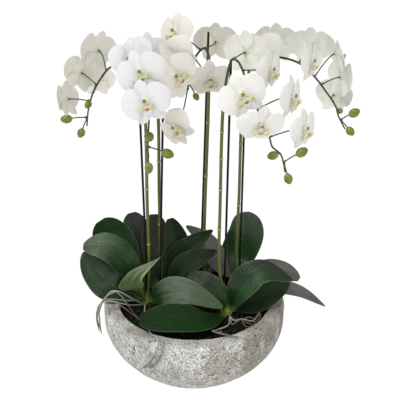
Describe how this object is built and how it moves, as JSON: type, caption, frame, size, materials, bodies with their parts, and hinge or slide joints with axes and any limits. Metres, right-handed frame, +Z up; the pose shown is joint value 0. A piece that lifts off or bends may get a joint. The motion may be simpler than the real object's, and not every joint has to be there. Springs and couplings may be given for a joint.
{
  "type": "potted moth orchid",
  "caption": "White moth orchids with staked arching flower sprays, strap leaves and loose roots, planted together in a shallow round stone bowl filled with soil.",
  "frame": {"origin": "centre of the flat foot of the bowl, on the surface that it stands on", "axes": "+Z up; -Y is the side of the bowl seen in the picture, +X is to its right"},
  "size_m": [0.5598, 0.3849, 0.699],
  "materials": {
    "bowl": "rough pitted cast stone",
    "soil": "loose dark bark mix",
    "stake": "satin",
    "stem": "satin, olive",
    "leaf": "waxy",
    "young_leaf": "waxy, lighter",
    "root": "matte silvery",
    "bloom": "soft, slightly translucent"
  },
  "bodies": {
    "root": {"bowl": "bowl", "soil": "soil", "stake_left": "stake", "stake_front": "stake", "stake_back": "stake", "stake_right": "stake", "stake_far": "stake", "flower_stem_left": "stem", "flower_stem_front": "stem", "flower_stem_back": "stem", "flower_stem_right": "stem", "flower_stem_far": "stem", "bloom_left_1": "bloom", "bloom_left_2": "bloom", "bloom_left_3": "bloom", "bloom_left_4": "bloom", "bloom_front_1": "bloom", "bloom_front_2": "bloom", "bloom_front_3": "bloom", "bloom_front_4": "bloom", "bloom_front_5": "bloom", "bloom_back_1": "bloom", "bloom_back_2": "bloom", "bloom_back_3": "bloom", "bloom_back_4": "bloom", "bloom_back_5": "bloom", "bloom_back_6": "bloom", "bloom_right_1": "bloom", "bloom_right_2": "bloom", "bloom_right_3": "bloom", "bloom_right_4": "bloom", "bloom_right_5": "bloom", "bloom_right_6": "bloom", "bloom_far_1": "bloom", "bloom_far_2": "bloom", "bloom_far_3": "bloom", "bloom_far_4": "bloom", "bloom_far_5": "bloom", "bloom_far_6": "bloom", "bloom_far_7": "bloom", "leaf_left_1": "leaf", "leaf_left_2": "leaf", "leaf_left_3": "leaf", "leaf_left_4": "young_leaf", "leaf_left_5": "leaf", "leaf_front_1": "leaf", "leaf_front_2": "leaf", "leaf_front_3": "leaf", "leaf_front_4": "leaf", "leaf_front_5": "leaf", "leaf_right_1": "leaf", "leaf_right_2": "leaf", "leaf_right_3": "leaf", "leaf_right_4": "leaf", "leaf_far_1": "leaf", "leaf_far_2": "leaf", "leaf_far_3": "leaf", "leaf_far_4": "leaf", "roots_left": "root", "roots_right": "root"}
  },
  "joints": []
}
